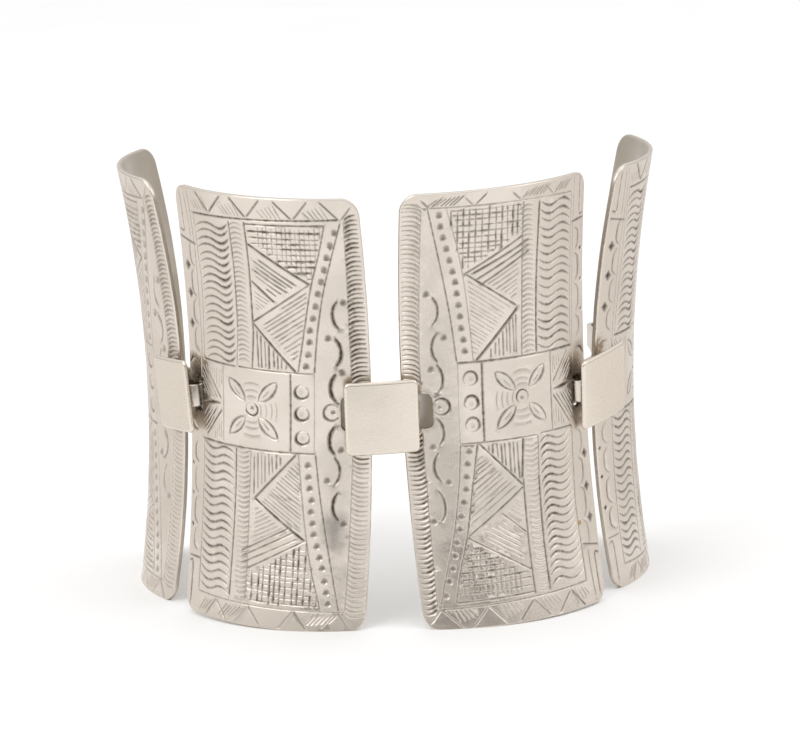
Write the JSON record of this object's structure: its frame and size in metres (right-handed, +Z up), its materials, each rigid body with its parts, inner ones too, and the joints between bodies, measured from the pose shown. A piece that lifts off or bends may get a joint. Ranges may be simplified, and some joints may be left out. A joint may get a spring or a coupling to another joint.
{
  "type": "engraved panel bracelet",
  "caption": "Wide hinged bracelet of curved, flared and engraved metal panels joined by square plated links, standing open on its edges.",
  "frame": {"origin": "middle of the bounding box at the surface that the panels' lower edges stand on", "axes": "+Z up along the arm, -Y towards the front panels and the centre link, +X to the right side panel"},
  "size_m": [0.094, 0.0646, 0.0755],
  "materials": {
    "panel_metal": "engraved, tarnished in the cuts",
    "link_metal": "plain satin"
  },
  "bodies": {
    "front_left": {"panel_front_left": "panel_metal"},
    "left_link": {"link_left": "link_metal"},
    "left_side": {"panel_left_side": "panel_metal"},
    "centre_link": {"link_centre": "link_metal"},
    "front_right": {"panel_front_right": "panel_metal"},
    "right_link": {"link_right": "link_metal"},
    "right_side": {"panel_right_side": "panel_metal", "clasp": "link_metal"}
  },
  "joints": [
    {"name": "left_link_turn", "type": "hinge", "parent": "front_left", "child": "left_link", "pos_m": [-0.03383, -0.01208, 0.0375], "axis": [0, 0, -1], "range_deg": [-18, 10]},
    {"name": "left_side_turn", "type": "hinge", "parent": "left_link", "child": "left_side", "pos_m": [-0.03632, -0.0074, 0.0375], "axis": [0, 0, -1], "range_deg": [-12, 18]},
    {"name": "centre_link_turn", "type": "hinge", "parent": "front_left", "child": "centre_link", "pos_m": [-0.00437, -0.02709, 0.0375], "axis": [0, 0, 1], "range_deg": [-18, 12]},
    {"name": "front_right_turn", "type": "hinge", "parent": "centre_link", "child": "front_right", "pos_m": [0.00249, -0.02637, 0.0375], "axis": [0, 0, 1], "range_deg": [-20, 26]},
    {"name": "right_link_turn", "type": "hinge", "parent": "front_right", "child": "right_link", "pos_m": [0.03245, -0.0124, 0.0375], "axis": [0, 0, 1], "range_deg": [-3, 14]},
    {"name": "right_side_turn", "type": "hinge", "parent": "right_link", "child": "right_side", "pos_m": [0.03516, -0.00893, 0.0375], "axis": [0, 0, 1], "range_deg": [-10, 11]}
  ]
}
